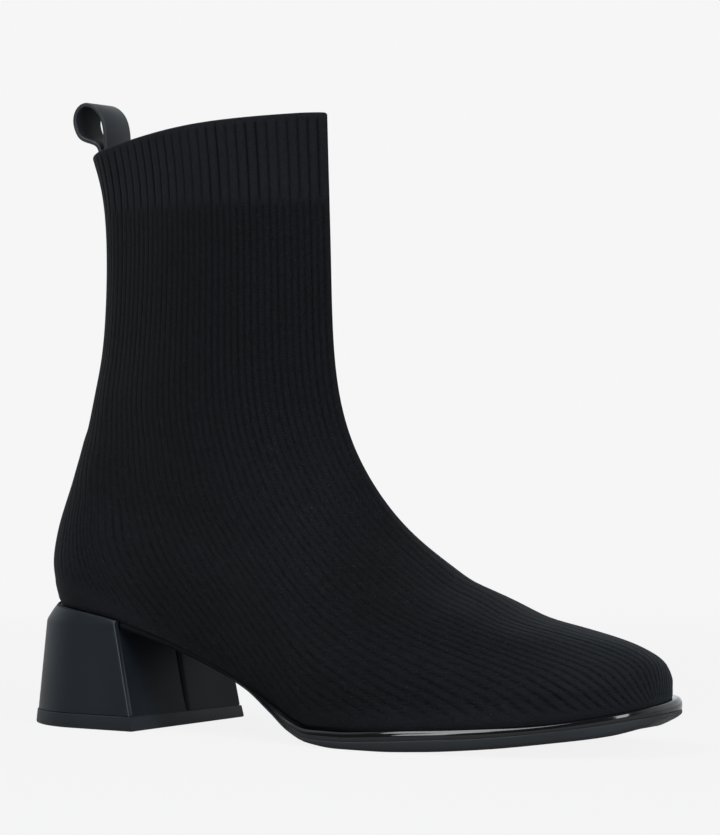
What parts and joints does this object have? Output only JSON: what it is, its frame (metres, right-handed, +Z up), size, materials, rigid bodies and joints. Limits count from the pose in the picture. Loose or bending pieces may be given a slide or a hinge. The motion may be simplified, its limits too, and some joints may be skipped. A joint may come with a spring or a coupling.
{
  "type": "knit ankle boot",
  "caption": "Ankle boot with a hollow rib-knit sock upper, thin arched sole with a glossy edge bead, flared block heel and a leather pull loop at the collar.",
  "frame": {"origin": "middle of the boot's length and width, on the floor under its sole", "axes": "+X from heel to toe, +Y to the inner side of the foot, +Z up from the floor"},
  "size_m": [0.2554, 0.0886, 0.2268],
  "materials": {
    "knit": "matte rib knit, black",
    "lining": "matte woven lining, black",
    "sole_rubber": "matte moulded rubber, black",
    "gloss_bead": "high gloss, black",
    "heel_leather": "smooth satin leather, black",
    "lift_rubber": "matte rubber, black",
    "loop_leather": "smooth satin leather, black"
  },
  "bodies": {
    "root": {"upper": "knit", "insole": "lining", "outsole": "sole_rubber", "welt": "gloss_bead", "heel_block": "heel_leather", "heel_lift": "lift_rubber", "pull_loop": "loop_leather"}
  },
  "joints": []
}
